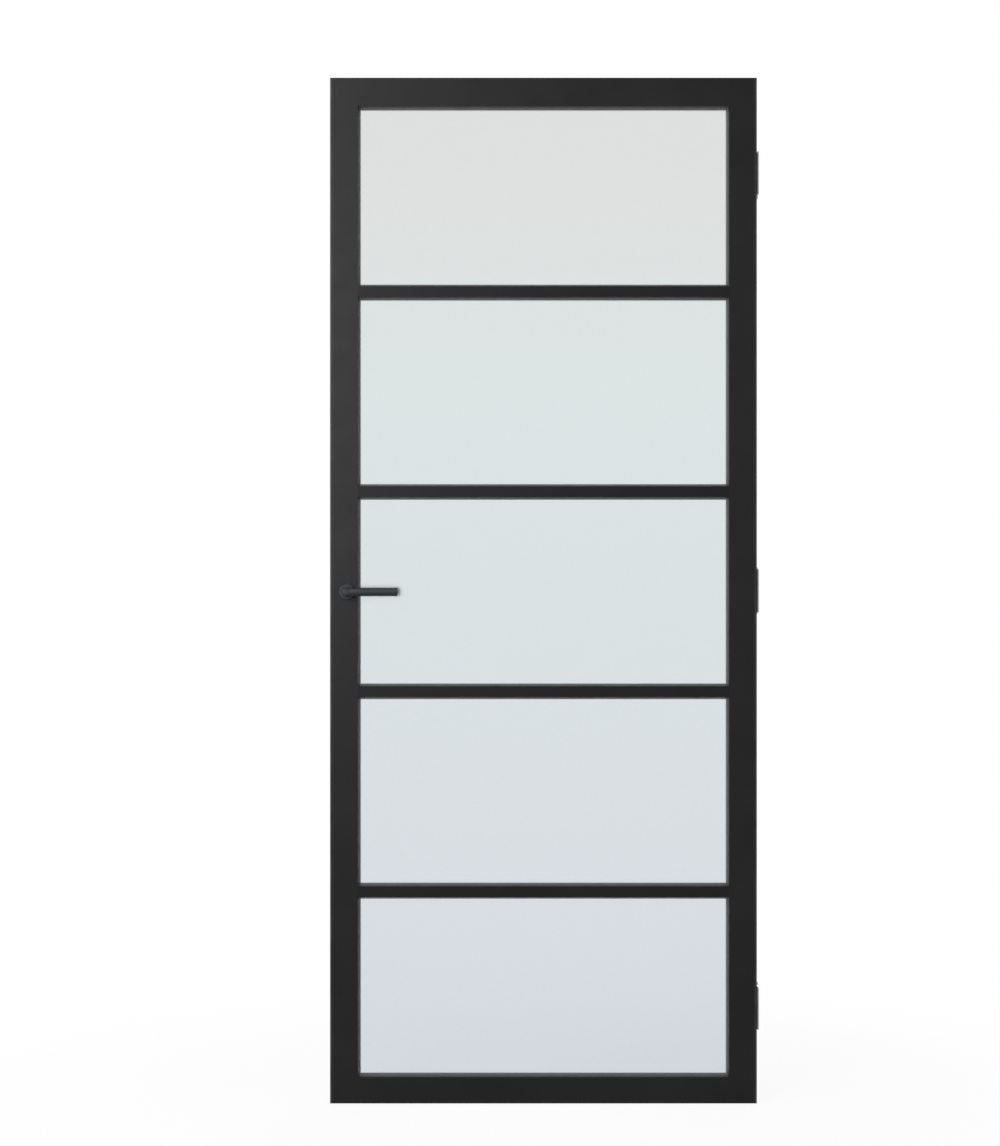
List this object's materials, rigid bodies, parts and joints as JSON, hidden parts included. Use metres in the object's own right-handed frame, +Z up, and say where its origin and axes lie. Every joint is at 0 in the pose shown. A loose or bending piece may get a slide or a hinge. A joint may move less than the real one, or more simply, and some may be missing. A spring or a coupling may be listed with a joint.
{
  "type": "interior glass door leaf",
  "caption": "Interior door leaf: slim black frame with horizontal glazing bars, satin glass panes, lever handles on round rosettes, a magnetic latch and butt hinges.",
  "frame": {"origin": "middle of the leaf's width and thickness, on its underside", "axes": "+X along the width from the lock edge to the hinge edge, +Y through the thickness from the front to the back, +Z up"},
  "size_m": [0.8875, 0.145, 2.115],
  "materials": {
    "black_lacquer": "satin lacquer",
    "satin_glass": "etched satin",
    "seal_rubber": "matte",
    "dowel_beech": "bare, fluted",
    "black_handle": "matte powder coat",
    "satin_steel": "brushed satin",
    "plated_steel": "zinc plated",
    "spring_steel": "bright drawn wire",
    "base_plastic": "moulded",
    "magnet_nickel": "nickel plated"
  },
  "bodies": {
    "frame_hinges": {"hinge_frame_plate_bottom": "satin_steel", "hinge_frame_plate_middle": "satin_steel", "hinge_frame_plate_top": "satin_steel", "hinge_pin_bottom": "satin_steel", "hinge_pin_middle": "satin_steel", "hinge_pin_top": "satin_steel", "hinge_bearings": "base_plastic"},
    "door_leaf": {"lock_stile": "black_lacquer", "hinge_stile": "black_lacquer", "top_rail": "black_lacquer", "bottom_rail": "black_lacquer", "glazing_bar_1": "black_lacquer", "glazing_bar_2": "black_lacquer", "glazing_bar_3": "black_lacquer", "glazing_bar_4": "black_lacquer", "glass_pane_1": "satin_glass", "glass_pane_2": "satin_glass", "glass_pane_3": "satin_glass", "glass_pane_4": "satin_glass", "glass_pane_5": "satin_glass", "glazing_seal_1": "seal_rubber", "glazing_seal_2": "seal_rubber", "glazing_seal_3": "seal_rubber", "glazing_seal_4": "seal_rubber", "glazing_seal_5": "seal_rubber", "glazing_beads_1": "black_lacquer", "glazing_beads_2": "black_lacquer", "glazing_beads_3": "black_lacquer", "glazing_beads_4": "black_lacquer", "glazing_beads_5": "black_lacquer", "frame_dowels": "dowel_beech", "bar_dowels": "dowel_beech", "hinge_door_plate_bottom": "satin_steel", "hinge_door_plate_middle": "satin_steel", "hinge_door_plate_top": "satin_steel", "hinge_screws": "satin_steel", "lock_case": "plated_steel", "lock_cover": "plated_steel", "lock_forend": "satin_steel", "forend_screws": "satin_steel", "latch_spring": "spring_steel", "lever_return_spring": "spring_steel", "rosette_front": "black_handle", "rosette_back": "black_handle", "rosette_base_front": "base_plastic", "rosette_base_back": "base_plastic", "rosette_screws": "plated_steel"},
    "lever_set": {"lever_front": "black_handle", "lever_back": "black_handle", "spindle": "plated_steel", "follower": "plated_steel", "lever_grub_screws": "plated_steel"},
    "latch": {"latch_bolt": "satin_steel", "latch_magnet": "magnet_nickel"}
  },
  "joints": [
    {"name": "door_swing", "type": "hinge", "parent": "frame_hinges", "child": "door_leaf", "pos_m": [0.441, 0.0275, 0], "axis": [0, 0, -1], "range_deg": [0, 170]},
    {"name": "lever_turn", "type": "hinge", "parent": "door_leaf", "child": "lever_set", "pos_m": [-0.405, 0, 1.055], "axis": [0, 1, 0], "range_deg": [0, 40], "stiffness_Nm_per_rad": 1.2, "springref_deg": -34.38, "deforming": ["lever_return_spring"]},
    {"name": "latch_slide", "type": "slide", "parent": "door_leaf", "child": "latch", "axis": [-1, 0, 0], "range_m": [0, 0.011], "stiffness_N_per_m": 60, "springref_m": -0.005, "deforming": ["latch_spring"]}
  ]
}
